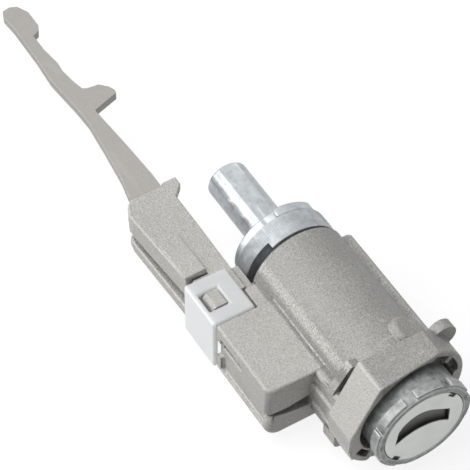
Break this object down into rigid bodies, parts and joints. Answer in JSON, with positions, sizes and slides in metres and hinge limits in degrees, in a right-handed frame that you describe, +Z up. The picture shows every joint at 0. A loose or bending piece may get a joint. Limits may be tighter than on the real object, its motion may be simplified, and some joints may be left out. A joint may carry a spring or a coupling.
{
  "type": "ignition lock cylinder",
  "caption": "Die-cast ignition lock cylinder with key slot, castellated head ring, drive spindle and a side lever arm with hooks.",
  "frame": {"origin": "on the lock axis, in the plane of the housing barrel's rear rim", "axes": "+Y along the lock axis towards the drive shaft, the key face looks to -Y, +X to the right and +Z up as seen from the key side, with the lever on the -X side"},
  "size_m": [0.0376, 0.1369, 0.0261],
  "materials": {
    "zinc_cast": "as-cast grey zinc alloy, fine grain",
    "zinc_plug": "machined grey zinc alloy",
    "plated_steel": "bright plated, fine turned marks",
    "plated_ring": "plated, slightly worn",
    "satin_cap": "pale satin plating",
    "dark_shutter": "black moulded",
    "pin_steel": "ground",
    "spring_steel": "drawn wire",
    "wafer_brass": "stamped",
    "plate_steel": "plain stamped, slightly dull",
    "white_nylon": "natural white, slightly translucent"
  },
  "bodies": {
    "lock_body": {"housing": "zinc_cast", "plug_retaining_pin": "pin_steel", "spindle_retaining_pin": "pin_steel", "detent_ball": "pin_steel", "detent_spring": "spring_steel", "detent_plug": "pin_steel", "return_spring": "spring_steel", "lever_pivot_pin": "pin_steel", "lever_spring": "spring_steel"},
    "rotor": {"spindle": "plated_steel", "cam_ring": "plated_steel"},
    "key_plug": {"plug": "zinc_plug", "head_ring": "plated_ring", "face_cap": "satin_cap", "shutter_pin": "pin_steel", "shutter_spring": "spring_steel", "spring_comb": "spring_steel", "sidebar": "wafer_brass", "sidebar_spring": "spring_steel", "push_spring": "spring_steel"},
    "shutter_flap": {"shutter": "dark_shutter"},
    "lever": {"lever_carrier": "zinc_cast", "lever_plate": "plate_steel", "lever_clip": "white_nylon"},
    "plunger": {"key_plunger": "pin_steel"},
    "wafer_1_body": {"wafer_1": "wafer_brass"},
    "wafer_2_body": {"wafer_2": "wafer_brass"},
    "wafer_3_body": {"wafer_3": "wafer_brass"},
    "wafer_4_body": {"wafer_4": "wafer_brass"},
    "wafer_5_body": {"wafer_5": "wafer_brass"},
    "wafer_6_body": {"wafer_6": "wafer_brass"},
    "wafer_7_body": {"wafer_7": "wafer_brass"},
    "wafer_8_body": {"wafer_8": "wafer_brass"}
  },
  "joints": [
    {"name": "spindle_turn", "type": "hinge", "parent": "lock_body", "child": "rotor", "pos_m": [0, 0, 0], "axis": [0, 1, 0], "range_deg": [0, 110]},
    {"name": "plug_push", "type": "slide", "parent": "rotor", "child": "key_plug", "axis": [0, 1, 0], "range_m": [0, 0.0025], "stiffness_N_per_m": 900, "springref_m": -0.003, "deforming": ["push_spring"]},
    {"name": "shutter_swing", "type": "hinge", "parent": "key_plug", "child": "shutter_flap", "pos_m": [0, -0.043, 0.0043], "axis": [1, 0, 0], "range_deg": [0, 75], "stiffness_Nm_per_rad": 0.0004, "springref_deg": -45.84},
    {"name": "lever_swing", "type": "hinge", "parent": "lock_body", "child": "lever", "pos_m": [-0.0176, -0.0102, 0], "axis": [0, 0, -1], "range_deg": [0, 3], "stiffness_Nm_per_rad": 0.1, "springref_deg": -11.46},
    {"name": "plunger_slide", "type": "slide", "parent": "lock_body", "child": "plunger", "axis": [-1, 0, 0], "range_m": [0, 0.0006]},
    {"name": "wafer_1_slide", "type": "slide", "parent": "key_plug", "child": "wafer_1_body", "axis": [1, 0, 0], "range_m": [0, 0.001], "stiffness_N_per_m": 60, "springref_m": -0.002},
    {"name": "wafer_2_slide", "type": "slide", "parent": "key_plug", "child": "wafer_2_body", "axis": [1, 0, 0], "range_m": [0, 0.001], "stiffness_N_per_m": 60, "springref_m": -0.002},
    {"name": "wafer_3_slide", "type": "slide", "parent": "key_plug", "child": "wafer_3_body", "axis": [1, 0, 0], "range_m": [0, 0.001], "stiffness_N_per_m": 60, "springref_m": -0.002},
    {"name": "wafer_4_slide", "type": "slide", "parent": "key_plug", "child": "wafer_4_body", "axis": [1, 0, 0], "range_m": [0, 0.001], "stiffness_N_per_m": 60, "springref_m": -0.002},
    {"name": "wafer_5_slide", "type": "slide", "parent": "key_plug", "child": "wafer_5_body", "axis": [1, 0, 0], "range_m": [0, 0.001], "stiffness_N_per_m": 60, "springref_m": -0.002},
    {"name": "wafer_6_slide", "type": "slide", "parent": "key_plug", "child": "wafer_6_body", "axis": [1, 0, 0], "range_m": [0, 0.001], "stiffness_N_per_m": 60, "springref_m": -0.002},
    {"name": "wafer_7_slide", "type": "slide", "parent": "key_plug", "child": "wafer_7_body", "axis": [1, 0, 0], "range_m": [0, 0.001], "stiffness_N_per_m": 60, "springref_m": -0.002},
    {"name": "wafer_8_slide", "type": "slide", "parent": "key_plug", "child": "wafer_8_body", "axis": [1, 0, 0], "range_m": [0, 0.001], "stiffness_N_per_m": 60, "springref_m": -0.002}
  ],
  "couplings": [
    {"joint": "plunger_slide", "follows": "lever_swing", "m_per_rad": 0.0114}
  ]
}
